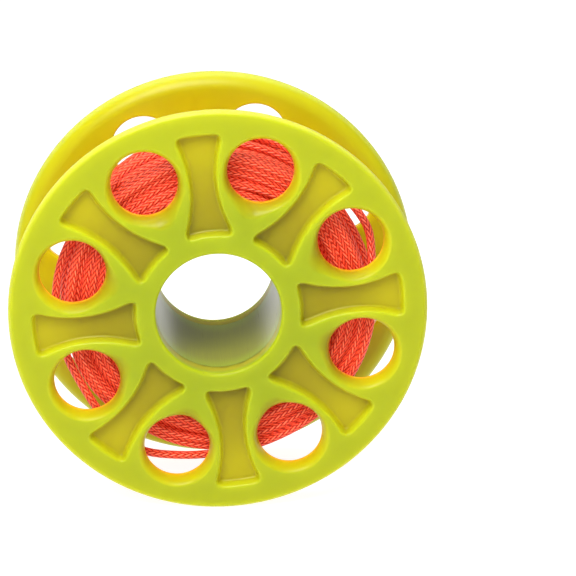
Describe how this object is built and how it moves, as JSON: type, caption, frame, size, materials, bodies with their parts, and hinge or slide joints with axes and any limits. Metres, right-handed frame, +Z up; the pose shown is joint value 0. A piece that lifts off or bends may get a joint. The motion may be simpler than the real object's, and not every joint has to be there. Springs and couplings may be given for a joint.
{
  "type": "diving finger spool",
  "caption": "Open-bored finger spool of lime plastic wound with orange braided line, with round windows and bow-tie pockets in both flanges.",
  "frame": {"origin": "centre of the finger bore, midway between the outer faces of the two flanges", "axes": "+Y along the bore from the front flange to the rear flange, +X to the right seen from the front, +Z up"},
  "size_m": [0.1, 0.04, 0.1],
  "materials": {
    "lime_plastic": "smooth moulded, slightly translucent",
    "orange_line": "tight round braid with a light sheen"
  },
  "bodies": {
    "root": {"front_flange": "lime_plastic", "rear_flange": "lime_plastic", "barrel": "lime_plastic", "line_winding": "orange_line", "line_slack_turn": "orange_line"}
  },
  "joints": []
}
